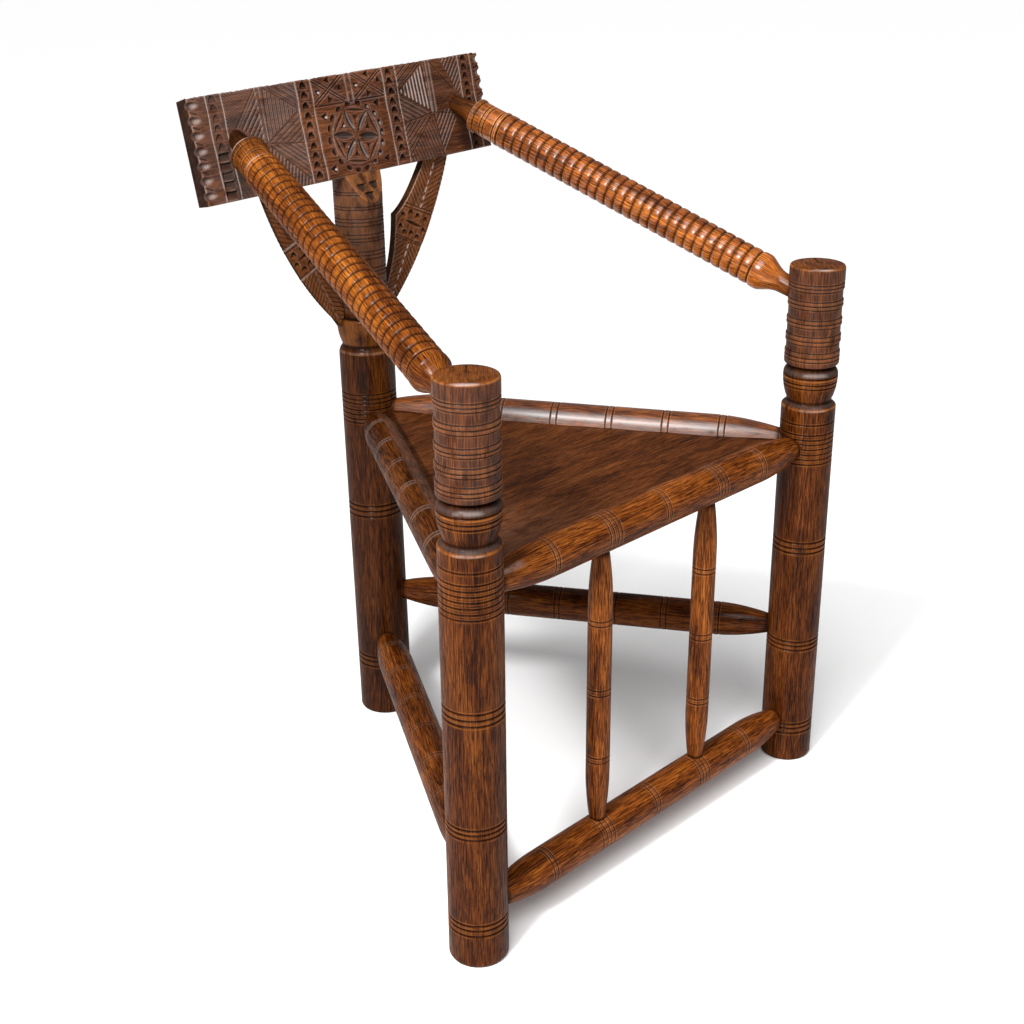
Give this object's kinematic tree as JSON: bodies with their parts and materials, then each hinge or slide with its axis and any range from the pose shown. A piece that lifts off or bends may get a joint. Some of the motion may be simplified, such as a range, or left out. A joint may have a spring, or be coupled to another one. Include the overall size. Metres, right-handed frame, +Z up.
{
  "type": "turned armchair",
  "caption": "Triangular-seated turned oak armchair: ring-turned posts and arms, tapered rails and spindles, a board seat, and a raked chip-carved crest board on shaped braces.",
  "frame": {"origin": "on the floor, under the middle of the chair's overall box", "axes": "+Z up, the front faces -Y, +X towards the sitter's left"},
  "size_m": [0.669, 0.5844, 0.9117],
  "materials": {
    "post_oak": "waxed, reddish brown with dark turned grooves",
    "rail_oak": "waxed, mid brown",
    "seat_oak": "waxed, dark brown",
    "crest_oak": "waxed, chocolate brown with worn pale edges",
    "arm_oak": "waxed and worn, orange brown"
  },
  "bodies": {
    "root": {"right_front_post": "post_oak", "left_front_post": "post_oak", "back_post": "post_oak", "front_seat_rail": "rail_oak", "right_seat_rail": "rail_oak", "left_seat_rail": "rail_oak", "front_stretcher": "rail_oak", "right_stretcher": "rail_oak", "left_stretcher": "rail_oak", "right_front_spindle": "rail_oak", "left_front_spindle": "rail_oak", "seat_panel": "seat_oak", "crest_rail": "crest_oak", "right_brace": "crest_oak", "left_brace": "crest_oak", "right_arm": "arm_oak", "left_arm": "arm_oak"}
  },
  "joints": []
}
